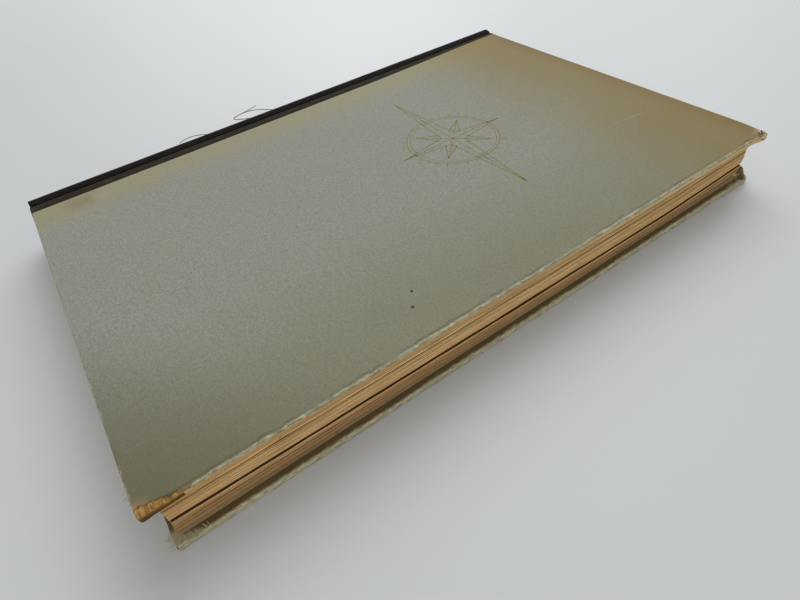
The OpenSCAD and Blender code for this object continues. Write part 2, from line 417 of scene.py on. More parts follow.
def fibre_stuff(name, low, high, size, stretch, depth):
    """A simple fibrous finish for hidden strips, thread and kraft paper."""
    p = Paint(name, roughness=0.92, specular=0.2)
    fibre, blotch = p.cloud(size, 3, 0.65, stretch=stretch), p.cloud(8, 3, 0.6, shift=6.0)
    base = p.mix(p.step(fibre, 0.3, 0.7), linear(*low), linear(*high))
    base = p.mix(p.step(blotch, 0.5, 0.8) * 0.4, base, linear(*low))
    p.colour(base)
    p.relief(fibre, depth)
    return p.material


FRONT_PAPER = cover_paper("granite_paper_front", True)
BACK_PAPER = cover_paper("granite_paper_back", False)
# the same cloth twice: a copy darkened by painted shade for the spine, shoulder and joints, and the lit copy
# for the flaps on the boards
SHADED_SPINE_CLOTH = book_cloth("spine_cloth_shaded", 0.55)
FLAP_CLOTH = book_cloth("flap_cloth_lit", 1.0)
LEAF_PAPER = leaf_paper()
END_PAPER = end_paper()
BOARD = binders_board()
MULL = fibre_stuff("mull_cotton", (150, 138, 108), (222, 212, 184), 0.5, (1, 1, 1), 0.1)
KRAFT = fibre_stuff("kraft_lining", (98, 70, 40), (164, 126, 84), 0.8, (1, 4, 1), 0.08)
LINEN = fibre_stuff("linen_thread", (170, 156, 122), (232, 222, 196), 0.2, (1, 1, 3), 0.05)
LOOSE_THREAD = fibre_stuff("loose_cloth_thread", (30, 26, 28), (74, 64, 66), 0.3, (1, 2, 1), 0.05)
WORN_LAYER = fibre_stuff("worn_paper_layer", (70, 58, 30), (150, 138, 96), 0.7, (1, 3, 1), 0.12)
INK = fibre_stuff("ochre_ink", (120, 112, 62), (140, 130, 80), 0.6, (1, 1, 1), 0.01)


# ---------------------------------------------------------------- mesh helpers

def make(name, points, faces, material, smooth_faces=False):
    """A piece from its points and faces."""
    mesh = bpy.data.meshes.new(name)
    mesh.from_pydata([tuple(p) for p in points], [], faces)
    mesh.validate()
    mesh.materials.append(material)
    for polygon in mesh.polygons:
        polygon.use_smooth = smooth_faces
    piece = bpy.data.objects.new(name, mesh)
    bpy.context.collection.objects.link(piece)
    return piece


def spread(low, high, coarse, fine, reach):
    """Places from low to high: fine steps within reach of each end, coarse ones between."""
    ends = [low + i * fine for i in range(int(round(reach / fine)) + 1)]
    far = [high - (p - low) for p in reversed(ends)]
    count = max(1, int(round((far[0] - ends[-1]) / coarse)))
    middle = [lerp(ends[-1], far[0], i / count) for i in range(1, count)]
    return ends + middle + far


def ring_tube(rings, closed=True):
    """Points and faces of a tube through rings of equal count, capped at both ends."""
    n = len(rings[0])
    points = [p for ring in rings for p in ring]
    faces = []
    for i in range(len(rings) - 1):
        for j in range(n if closed else n - 1):
            k = (j + 1) % n
            faces.append((i * n + j, i * n + k, (i + 1) * n + k, (i + 1) * n + j))
    return points, faces


def end_caps(rings, steps):
    """Faces that close both ends of a flat tube whose rings go out and back along a strip."""
    n = len(rings[0])
    return [(base + j, base + j + 1, base + n - 2 - j, base + n - 1 - j)
            for base in (0, (len(rings) - 1) * n) for j in range(steps)]


def lay_weave(piece, place):
    """Gives a piece its weave's place, in metres of cloth, at each of its points."""
    layer = piece.data.uv_layers.new(name="UVMap")
    for loop in piece.data.loops:
        layer.data[loop.index].uv = place(loop.vertex_index)


def face_outwards(piece):
    """Makes a closed mesh's faces point out."""
    work = bmesh.new()
    work.from_mesh(piece.data)
    bmesh.ops.recalc_face_normals(work, faces=work.faces)
    work.to_mesh(piece.data)
    work.free()
    piece.data.update()


# ---------------------------------------------------------------- covers

def corner_fit(x, y, x_fore, half_h, radii):
    """Pulls a place on a square-cornered plate in to its rounded fore corners."""
    x, y = min(x, x_fore), math.copysign(min(abs(y), half_h), y)
    radius = radii[0] if y < 0 else radii[1]
    cx, cy = x_fore - radius, half_h - radius
    dx, dy = x - cx, abs(y) - cy
    if dx <= 0 or dy <= 0:
        return x, y
    pull = max(dx, dy) / math.hypot(dx, dy)
    return cx + dx * pull, math.copysign(cy + dy * pull, y)


class Side:
    """One cover: where its fore corners are worn and how its edges run."""

    def __init__(self, front, radii, seed):
        self.front, self.radii, self.seed = front, radii, seed

    def edge_noise(self, x, y, z):
        rough = wander(x, y, z + self.seed, 7 * MM) * 0.20 + wander(x, y, z + self.seed, 1.6 * MM) * 0.14
        return rough * MM

    def place(self, x, y, depth, inset):
        """A point on the cover: depth is 0 at its face and COVER_T inside."""
        fore, half = FORE_X - inset, HALF_H - inset
        x2, y2 = corner_fit(x, y, fore, half, self.radii)
        near_fore = between(x2, FORE_X - 3 * MM, FORE_X - 0.4 * MM)
        near_end = between(abs(y2), HALF_H - 3 * MM, HALF_H - 0.4 * MM)
        bite = self.edge_noise(x2, y2, depth * 3)
        x2 -= near_fore * (0.12 * MM + abs(bite))
        y2 -= math.copysign(near_end * (0.08 * MM + abs(bite) * 0.7), y2)
        corner = between(x2, FORE_X - 9 * MM, FORE_X) * between(y2, HALF_H - 9 * MM, HALF_H)
        if self.front:
            x2, y2 = x2 + corner * 0.7 * MM, y2 + corner * 0.5 * MM
        else:
            y2 += 1.3 * MM * between(x2, -50 * MM, 60 * MM) * between(-y2, HALF_H - 14 * MM, HALF_H)
        sag = self.sag(x2, y2)
        z = depth + sag
        return Vector((x2, y2, THICK - z if self.front else z))

    def sag(self, x, y):
        """How far the worn outermost rim has sunk towards the leaves."""
        to_fore, to_end = FORE_X - x, HALF_H - abs(y)
        corner = smooth(1 - math.hypot(max(to_fore, 0), max(to_end, 0)) / (11 * MM))
        droop = 0.6 if self.front else 0.0
        return corner * droop * MM

    def torn(self, x, y, depth):
        """True where the covering paper is gone from the board."""
        rag = wander(x, y, depth, 3.0 * MM) * 0.6 * MM + wander(x, y, depth, 0.9 * MM) * 0.25 * MM
        to_fore, to_end = FORE_X - x, HALF_H - abs(y)
        if self.front and y < 0:
            to_fore += depth * 0.6
            wedge = along([(0, 3.0 * MM), (4 * MM, 2.2 * MM), (9 * MM, 0.9 * MM), (12.5 * MM, 0)],
                          to_end + rag)
            return to_end < 12 * MM and to_fore + rag * 0.4 < wedge
        reach = 0.0 if y < 0 else 1.6 * MM
        return to_fore + to_end + rag < reach


def plate_faces(xs, ys, rows, place, keep):
    """The skin of a flat plate: its face, its three outer edges and its inner face.

    rows is the list of (depth, inset) down the edge, from the face to the inside.
    """
    points, index, faces = [], {}, []

    def at(i, j, k):
        key = (i, j, k)
        if key not in index:
            depth, inset = rows[k]
            index[key] = len(points)
            points.append(place(xs[i], ys[j], depth, inset))
        return index[key]

    nx, ny, nk = len(xs), len(ys), len(rows)

    def quad(*corners):
        middle = [sum(c) / 4 for c in zip(*((xs[i], ys[j], rows[k][0]) for i, j, k in corners))]
        if keep(*middle):
            faces.append(tuple(at(*c) for c in corners))

    for i in range(nx - 1):
        for j in range(ny - 1):
            for k in (0, nk - 1):
                quad((i, j, k), (i + 1, j, k), (i + 1, j + 1, k), (i, j + 1, k))
    for k in range(nk - 1):
        for j in range(ny - 1):
            quad((nx - 1, j, k), (nx - 1, j, k + 1), (nx - 1, j + 1, k + 1), (nx - 1, j + 1, k))
        for i in range(nx - 1):
            for j in (0, ny - 1):
                quad((i, j, k), (i + 1, j, k), (i + 1, j, k + 1), (i, j, k + 1))
    return points, faces


def cover_rows(inner, edge_round, steps):
    """Depths and insets down a cover's rounded edge."""
    rows = []
    for s in range(steps + 1):
        angle = math.pi / 2 * s / steps
        rows.append((edge_round * (1 - math.cos(angle)), edge_round * (1 - math.sin(angle))))
    turned = [(inner - d, i) for d, i in reversed(rows)]
    return rows + turned


def cover(side, name, board_name, paper, body, nodes):
    """One cover: its thin covering paper, torn where it is worn through, and the board inside."""
    xs = [PAPER_X + p for p in spread(0.0, FORE_X - PAPER_X, 4 * MM, 0.5 * MM, 13 * MM)]
    ys = spread(-HALF_H, HALF_H, 3.5 * MM, 0.5 * MM, TURN_IN)
    rows = cover_rows(COVER_T, EDGE_ROUND, 4)

    def keep_paper(x, y, depth):
        if side.torn(x, y, depth):
            return False
        inside = depth > COVER_T - 0.05 * MM
        return not (inside and x < FORE_X - TURN_IN and abs(y) < HALF_H - TURN_IN)

    def place_paper(x, y, depth, inset):
        askew = 2.2 * MM * between(x, -50 * MM, PAPER_X) * between(y, 30 * MM, 106 * MM)
        return side.place(x - askew if side.front else x, y, depth, inset)

    points, faces = plate_faces(xs, ys, rows, place_paper, keep_paper)
    piece = make(name, points, faces, paper, smooth_faces=True)
    face_outwards_open(piece, side.front)
    thick = piece.modifiers.new("paper thickness", "SOLIDIFY")
    thick.thickness = SKIN_T
    thick.offset = -1.0
    finish(piece)
    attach(piece, body)
    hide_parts(nodes[0])

    # the board inside, set back by the paper's thickness
    bxs = [BOARD_X] + xs
    inset = SKIN_T + 0.03 * MM
    board_rows = [(max(d, inset) if d < COVER_T / 2 else min(d, COVER_T - inset), i + inset)
                  for d, i in rows]

    def place_board(x, y, depth, edge):
        under_cloth = between(x, SPINE_X + 14.2 * MM, SPINE_X + 13.6 * MM)
        return side.place(x, y, max(depth, 0.5 * MM * under_cloth), edge)

    points, faces = plate_faces(bxs, ys, board_rows, place_board, lambda *a: True)
    piece = make(board_name, points, faces, BOARD, smooth_faces=True)
    close_holes(piece)
    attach(piece, body)
    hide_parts(nodes[1])


def face_outwards_open(piece, front):
    """Points an open cover skin's faces away from the board inside it."""
    work = bmesh.new()
    work.from_mesh(piece.data)
    bmesh.ops.remove_doubles(work, verts=work.verts, dist=WELD)
    work.normal_update()
    middle = THICK - COVER_T / 2 if front else COVER_T / 2
    core_x, core_y = FORE_X - 3 * MM, HALF_H - 3 * MM
    wrong = []
    for face in work.faces:
        c = face.calc_center_median()
        core = Vector((min(c.x, core_x), min(max(c.y, -core_y), core_y), middle))
        if face.normal.dot(c - core) < 0:
            wrong.append(face)
    bmesh.ops.reverse_faces(work, faces=wrong)
    work.to_mesh(piece.data)
    work.free()


def close_holes(piece):
    """Fills a plate's open spine edge, so that the board is one closed shape."""
    work = bmesh.new()
    work.from_mesh(piece.data)
    bmesh.ops.remove_doubles(work, verts=work.verts, dist=WELD)
    bmesh.ops.holes_fill(work, edges=[e for e in work.edges if e.is_boundary], sides=0)
    bmesh.ops.recalc_face_normals(work, faces=work.faces)
    work.to_mesh(piece.data)
    work.free()


def finish(piece):
    """Turns a piece with live modifiers into a plain mesh."""
    graph = bpy.context.evaluated_depsgraph_get()
    mesh = bpy.data.meshes.new_from_object(piece.evaluated_get(graph))
    piece.modifiers.clear()
    piece.data = mesh


FRONT_SIDE = Side(True, (0.8 * MM, 1.3 * MM), 0.0)
BACK_SIDE = Side(False, (0.9 * MM, 2.2 * MM), 0.5)
cover(FRONT_SIDE, "front_cover_paper", "front_cover_board",
      FRONT_PAPER, "front_cover", ("front_paper", "front_board"))
cover(BACK_SIDE, "back_cover_paper", "back_cover_board",
      BACK_PAPER, "back_cover", ("back_paper", "back_board"))


def flake(name, material, x, y, reach, lift, thick, seed):
    """A worn layer at the back cover's head corner, curled up clear of the leaves."""
    rng = random.Random(seed)
    steps = 12
    rows = []
    for i in range(steps + 1):
        u = i / steps
        rows.append([])
        for j in range(steps + 1):
            v = j / steps
            out = reach * u * (1 - 0.45 * v)
            px = x + out + rng.uniform(-0.05, 0.05) * MM * u
            py = y + reach * v * (1 - 0.35 * u) + rng.uniform(-0.05, 0.05) * MM * v
            outward = max(u, v) ** 2
            pz = COVER_T * 0.72 + lift * outward * outward + rng.uniform(-0.03, 0.03) * MM
            rows[-1].append(Vector((px, py, pz)))
    points = [q for row in rows for q in row]
    wide = steps + 1
    faces = [(i * wide + j, (i + 1) * wide + j, (i + 1) * wide + j + 1, i * wide + j + 1)
             for i in range(steps) for j in range(steps)]
    piece = make(name, points, faces, material, smooth_faces=True)
    layer = piece.modifiers.new("layer thickness", "SOLIDIFY")
    layer.thickness = thick
    layer.offset = 0.0
    finish(piece)
    face_outwards(piece)
    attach(piece, "back_cover")


flake("back_corner_layer_lower", BOARD,
      68.6 * MM, 104.0 * MM, 4.8 * MM, 1.3 * MM, 0.3 * MM, 5)
flake("back_corner_layer_upper", WORN_LAYER,
      66.6 * MM, 102.2 * MM, 6.9 * MM, 3.3 * MM, 0.2 * MM, 6)


def cloth_turn_in(side, name, body):
    """The flap's cloth where it is turned over the board's head and tail edges."""
    xs = [BOARD_X + i * (PAPER_X + 0.6 * MM - BOARD_X) / 12 for i in range(13)]
    ys = spread(-HALF_H, HALF_H, 3.5 * MM, 0.5 * MM, TURN_IN)
    under = 0.08 * MM
    rows = [(min(max(d, under), COVER_T - under), i + under) for d, i in cover_rows(COVER_T, EDGE_ROUND, 4)]

    def keep(x, y, depth):
        inside = depth > COVER_T / 2 and abs(y) > HALF_H - TURN_IN
        return x < xs[-1] - WELD and (inside or abs(y) > HALF_H - WELD) and depth > under * 1.5

    points, faces = plate_faces(xs, ys, rows, side.place, keep)
    piece = make(name, points, faces, FLAP_CLOTH, smooth_faces=True)
    face_outwards_open(piece, side.front)
    spots = piece.data.vertices
    lay_weave(piece, lambda v: (spots[v].co.x, spots[v].co.y + spots[v].co.z))
    thick = piece.modifiers.new("cloth thickness", "SOLIDIFY")
    thick.thickness = 0.25 * MM
    thick.offset = -1.0
    finish(piece)
    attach(piece, body)


cloth_turn_in(FRONT_SIDE, "front_cloth_turn_in", "front_cover")
cloth_turn_in(BACK_SIDE, "back_cloth_turn_in", "back_cover")


# ---------------------------------------------------------------- leaves

# How the leaves lie at the fore edge, from tail to head: the foot of the stack and the
# gap between the tight lower bundle and the rest, in millimetres above the table.
FOOT = [(-108, 2.55), (65, 2.55), (88, 3.3), (105, 3.9)]
GAP = [(-108, 7.9), (-58, 7.0), (0, 5.9), (65, 5.3), (88, 6.2), (105, 6.9)]
GAP_SHARE = 0.26
GAP_WIDTH = 0.7
# lesser gaps between bundles: share of the stack, how much they open
SLITS = [(0.07, 0.22), (0.14, 0.30), (0.20, 0.12), (0.46, 0.08),
         (0.62, 0.26), (0.71, 0.18), (0.86, 0.08)]
STACK_LOW, STACK_HIGH = SHEET_LOW.z / MM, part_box("section_1")[1].z / MM
SECTIONS, SHEETS = 8, 5
LEAVES = SECTIONS * SHEETS * 2
LEAF_T = 0.13


def leaf_height(share, x, y):
    """Where a leaf at this share of the stack lies: even at the fold, slumped at the edge."""
    even = lerp(STACK_LOW, STACK_HIGH, share)
    ym = y / MM
    foot, gap = along(FOOT, ym), along(GAP, ym)
    if share < GAP_SHARE:
        slumped = lerp(foot, gap - GAP_WIDTH / 2, share / GAP_SHARE)
    else:
        slumped = lerp(gap + GAP_WIDTH / 2, STACK_HIGH, (share - GAP_SHARE) / (1 - GAP_SHARE))
    for place, width in SLITS:
        off = (share - place) / 0.05
        uneven = 0.6 + 0.4 * wander(place * 9, y, 0, 40 * MM)
        slumped += math.copysign(width / 2, off) * math.exp(-abs(off)) * uneven
    loose = between(x, SPINE_X + 25 * MM, LEAF_EDGE)
    wave = wander(0, y, share * 0.9, 55 * MM) * 0.10 * min(1.0, (1 - share) * 6)
    return (even + (slumped - even + wave) * loose) * MM


def section(number, body):
    """Five folded sheets nested round one line, each with its own slightly uneven trim."""
    low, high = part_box(f"section_{number}")
    middle, half = (low.z + high.z) / 2, (high.z - low.z) / 2
    fold_x = low.x + half
    pitch = half / SHEETS
    first = (SECTIONS - number) * SHEETS * 2
    rng = random.Random(100 + number)
    ys = spread(-LEAF_HALF_H, LEAF_HALF_H, 5.5 * MM, 1.5 * MM, 6 * MM)
    points, faces, counts = [], [], []
    for sheet in range(SHEETS):
        outer = half - sheet * pitch
        inner = outer - LEAF_T * MM
        lower, upper = first + sheet, first + 2 * SHEETS - 1 - sheet
        trims = [(rng.uniform(-0.16, 0.10) * MM, rng.random() * 9) for _ in range(2)]
        ends = [(rng.uniform(-0.12, 0.12) * MM, rng.uniform(-0.12, 0.12) * MM) for _ in range(2)]
        rings = []
        for y in ys:
            ring = []
            for skin, radius in ((0, outer), (1, inner)):
                line = []
                for leaf, sign, (trim, seed), (tail, head) in zip((lower, upper), (-1, 1), trims, ends):
                    share = (leaf + 0.5) / LEAVES
                    y2 = y + lerp(tail, head, (y + LEAF_HALF_H) / (2 * LEAF_HALF_H))
                    chip = wander(seed, y, 0, 9 * MM) * 0.16 * MM + wander(seed, y, 3, 2 * MM) * 0.07 * MM
                    edge = LEAF_EDGE + trim + chip - 0.1 * MM
                    half_leaf = (LEAF_T / 2 if sign * (1 - 2 * skin) > 0 else -LEAF_T / 2) * MM
                    run = []
                    for x in (edge, edge - 3 * MM, edge - 12 * MM, lerp(edge, fold_x, 0.3),
                              lerp(edge, fold_x, 0.62), fold_x + 12 * MM, fold_x + 3 * MM):
                        z = leaf_height(share, x, y) + half_leaf
                        exact = middle + sign * radius
                        settle = between(x, fold_x, fold_x + 20 * MM)
                        run.append(Vector((x, y2, lerp(exact, z, settle))))
                    line.append((run, sign, y2))
                (low_run, _, low_y), (up_run, _, up_y) = line
                arc = []
                for a in range(1, 8):
                    angle = math.pi / 2 + math.pi * a / 8
                    arc.append(Vector((fold_x + radius * math.cos(angle), lerp(up_y, low_y, a / 8),
                                       middle + radius * math.sin(angle))))
                whole = up_run + arc + low_run[::-1]
                tally = [upper] * (len(up_run) + 3) + [lower] * (len(low_run) + 4)
                ring += whole if skin == 0 else whole[::-1]
                counts += tally if skin == 0 else tally[::-1]
            rings.append(ring)
        start = len(points)
        n = len(rings[0])
        tube_points, tube_faces = ring_tube(rings)
        points += tube_points
        faces += [tuple(start + v for v in f) for f in tube_faces]
        m = n // 2
        for base, flip in ((start, False), (start + (len(rings) - 1) * n, True)):
            for j in range(m - 1):
                quad = (base + j, base + j + 1, base + n - 2 - j, base + n - 1 - j)
                faces.append(quad[::-1] if flip else quad)
    piece = make(f"leaves_{number}", points, faces, LEAF_PAPER)
    tone = piece.data.attributes.new("leaf_count", "FLOAT", "POINT")
    tone.data.foreach_set("value", [float(c) for c in counts])
    face_outwards(piece)
    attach(piece, body)
    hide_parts(f"section_{number}")


for number in range(1, SECTIONS + 1):
    section(number, "front_block" if number <= SECTIONS // 2 else "rear_block")


# ---------------------------------------------------------------- cloth of the spine and joints

def cloth_path():
    """Outer face of the cloth from under the front paper's edge to the middle of the spine."""
    shape = [(13.0, 0.16), (11.3, 0.16), (10.9, 0.06), (8.0, 0.06), (6.9, 0.08), (6.35, 0.28),
             (6.15, 0.75), (5.95, 1.15), (5.6, 1.38), (5.2, 1.42), (4.8, 1.33), (4.4, 1.12),
             (4.0, 0.86), (3.6, 0.62), (3.2, 0.44), (2.6, 0.28), (2.0, 0.22), (1.5, 0.24),
             (0.95, 0.32), (0.5, 0.48), (0.18, 0.72), (-0.02, 1.02), (-0.14, 1.38), (-0.2, 1.9),
             (-0.28, 3.0), (-0.36, 5.0), (-0.42, 7.4), (-0.44, THICK / MM / 2)]
    return [(SPINE_X + x * MM, THICK - d * MM) for x, d in shape]


def lengths(path, start=0.0):
    """How far along a path each of its places is."""
    run = [start]
    for a, b in zip(path, path[1:]):
        run.append(run[-1] + math.dist(a, b))
    return run


def cloth_strip(name, path, start, material, tail, head, puffed):
    """A closed strip of cloth just inside part of the path, with its weave laid on."""
    thick = 0.28 * MM
    ys = spread(tail, head, 4 * MM, 1 * MM, 5 * MM)
    offsets = []
    for i, (x, z) in enumerate(path):
        ax, az = path[max(i - 1, 0)]
        bx, bz = path[min(i + 1, len(path) - 1)]
        length = math.hypot(bx - ax, bz - az)
        offsets.append(((bz - az) / length, -(bx - ax) / length))
    rings = []
    for y in ys:
        outer, inner = [], []
        for (x, z), (nx, nz) in zip(path, offsets):
            puff = (0.5 + 0.5 * wander(x, y, z, 14 * MM)) * puffed
            outer.append(Vector((x - nx * puff, y, z - nz * puff)))
            inner.append(Vector((x - nx * (puff + thick), y, z - nz * (puff + thick))))
        rings.append(outer + inner[::-1])
    points, faces = ring_tube(rings)
    n = len(rings[0])
    faces += end_caps(rings, n // 2 - 1)
    piece = make(name, points, faces, material, smooth_faces=True)
    run = lengths(path, start)
    flat = run + run[::-1]
    lay_weave(piece, lambda v: (flat[v % n], ys[v // n]))
    face_outwards(piece)
    return piece


def cloth_all():
    front = cloth_path()
    whole = front + [(x, THICK - z) for x, z in reversed(front[:-1])]
    last = len(whole) - 1
    cuts = [
        ("front_flap_cloth", 0, 9, "front_cover", None, ("front_cloth",)),
        ("front_hinge_cloth", 9, 11, "front_flyleaf", "front_cover", ()),
        ("front_fold_cloth", 11, 14, "front_joint", "front_flyleaf", ()),
        ("front_shoulder_cloth", 14, 18, "front_joint", None, ("joint_cloth",)),
        ("spine_front_bend", 18, 22, "spine", "front_joint", ()),
        ("spine_back_cloth", 22, last - 22, "spine", None, ("spine_cloth",)),
        ("spine_rear_bend", last - 22, last - 20, "rear_block", "spine", ()),
        ("rear_corner_cloth", last - 20, last - 18, "rear_flyleaf", "rear_block", ()),
        ("rear_fold_cloth", last - 18, last - 15, "back_cover", "rear_flyleaf", ()),
        ("back_flap_cloth", last - 15, last, "back_cover", None, ("back_cloth",)),
    ]
    run = lengths(whole)
    for name, a, b, body, other, nodes in cuts:
        head = HALF_H + (1.8 * MM if "spine" in (body, other) or body == "front_joint" else -0.15 * MM)
        # painted shade: the spine, shoulder and joint pieces take the darkened copy of the cloth
        material = FLAP_CLOTH if "flap" in name else SHADED_SPINE_CLOTH
        piece = cloth_strip(name, whole[a:b + 1], run[a], material, -HALF_H + 0.1 * MM, head,
                            0.02 * MM if "flap" in name else 0.07 * MM)
        if other:
            # whole runs from the front cover round to the back cover
            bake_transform(piece)
        else:
            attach(piece, body)
        if nodes:
            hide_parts(*nodes)


cloth_all()


def spine_cap(name, y_end):
    """The roll where the cloth is turned in over the card at the head or tail."""
    rings = []
    out = math.copysign(1.0, y_end)
    z_low, z_high = 1.3 * MM, THICK - 1.3 * MM
    steps, around = 26, 14
    for i in range(steps + 1):
        z = lerp(z_low, z_high, i / steps)
        bow = -0.2 * MM * math.sin(math.pi * i / steps)
        ring = []
        for a in range(around):
            angle = 2 * math.pi * a / around
            puff = 1 + 0.10 * wander(angle, y_end, z, 3 * MM)
            ring.append(Vector((SPINE_X + 0.72 * MM + bow + 0.70 * MM * puff * math.cos(angle),
                                y_end + out * 0.55 * MM * puff * math.sin(angle), z)))
        rings.append(ring)
    points, faces = ring_tube(rings)
    faces.append(tuple(range(around)))
    faces.append(tuple(range(steps * around, (steps + 1) * around)))
    # the roll takes the copy of the cloth darkened by painted shade
    piece = make(name, points, faces, SHADED_SPINE_CLOTH, smooth_faces=True)
    round_the_roll = 3.9 * MM
    lay_weave(piece, lambda v: ((v % around) / around * round_the_roll, piece.data.vertices[v].co.z))
    face_outwards(piece)
    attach(piece, "spine")


spine_cap("spine_head_roll", HALF_H + 1.3 * MM)
spine_cap("spine_tail_roll", -HALF_H + 0.45 * MM)


# ---------------------------------------------------------------- endpaper hinges

def paper_hinge(name, a, b, half):
    """The strip of endpaper between a flyleaf and its pastedown."""
    steps, thick = 6, 0.10 * MM
    ys = spread(-half, half, 10 * MM, 2 * MM, 4 * MM)
    rings = []
    for y in ys:
        line = [(lerp(a[0], b[0], i / steps), lerp(a[1], b[1], i / steps)) for i in range(steps + 1)]
        upper = [Vector((x, y, z + thick / 2)) for x, z in line]
        lower = [Vector((x, y, z - thick / 2)) for x, z in reversed(line)]
        rings.append(upper + lower)
    points, faces = ring_tube(rings)
    faces += end_caps(rings, steps)
    piece = make(name, points, faces, END_PAPER)
    face_outwards(piece)
    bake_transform(piece)


paper_hinge("front_endpaper_hinge", (FLY_LOW.x, (FLY_LOW.z + FLY_HIGH.z) / 2),
            (PASTE_LOW.x, (PASTE_LOW.z + PASTE_HIGH.z) / 2), LEAF_HALF_H)
paper_hinge("rear_endpaper_hinge", (REAR_FLY_LOW.x, (REAR_FLY_LOW.z + REAR_FLY_HIGH.z) / 2),
            (BACK_PASTE_LOW.x, (BACK_PASTE_LOW.z + BACK_PASTE_HIGH.z) / 2), LEAF_HALF_H)


# ---------------------------------------------------------------- printed ornament: a plain compass star

def ornament():
    """A generic ringed compass star in thin printed lines."""
    centre = Vector((1.5, 29.5))
    z = THICK + 0.012 * MM
    width = 0.36
    points, faces = [], []

    def line(a, b, w=width):
        a, b = centre + Vector(a), centre + Vector(b)
        side = (b - a).normalized()
        side = Vector((-side.y, side.x)) * w / 2
        start = len(points)
        for corner in (a - side, b - side, b + side, a + side):
            points.append((corner.x * MM, corner.y * MM, z))
        faces.append((start, start + 1, start + 2, start + 3))

    def ring(radius, w=width, count=120):
        start = len(points)
        for i in range(count):
            angle = 2 * math.pi * i / count
            for r in (radius - w / 2, radius + w / 2):
                points.append(((centre.x + r * math.cos(angle)) * MM,
                               (centre.y + r * math.sin(angle)) * MM, z))
        for i in range(count):
            j = (i + 1) % count
            faces.append((start + 2 * i, start + 2 * i + 1, start + 2 * j + 1, start + 2 * j))

    def turned(r, degrees):
        angle = math.radians(degrees)
        return (r * math.cos(angle), r * math.sin(angle))

    ring(17.0)
    ring(15.8, 0.24)
    for i in range(32):
        long = 1.6 if i % 4 else 2.4
        line(turned(17.2, i * 11.25), turned(17.2 + long, i * 11.25), 0.26)
    for i in range(8):
        main = i % 2 == 0
        tip = (22.0 if i % 4 else 38.0) if main else 13.8
        waist = 4.2 if main else 5.4
        for s in (-1, 1):
            line(turned(tip, i * 45), turned(waist, i * 45 + s * (45 if main else 22.5)))
            hatch = 5 if main else 3
            for h in range(1, hatch):
                t = h / (hatch + 0.5)
                if s > 0:
                    from_waist = zip(turned(waist, i * 45 + 22.5), turned(tip, i * 45))
                    line(tuple(lerp(u, v, t) for u, v in from_waist),
                         turned(lerp(2.0, tip, t), i * 45), 0.24)
        line((0, 0), turned(tip, i * 45), 0.24)
    piece = make("compass_star_print", points, faces, INK)
    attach(piece, "front_cover")


ornament()


# ---------------------------------------------------------------- repeated threads, by Geometry Nodes

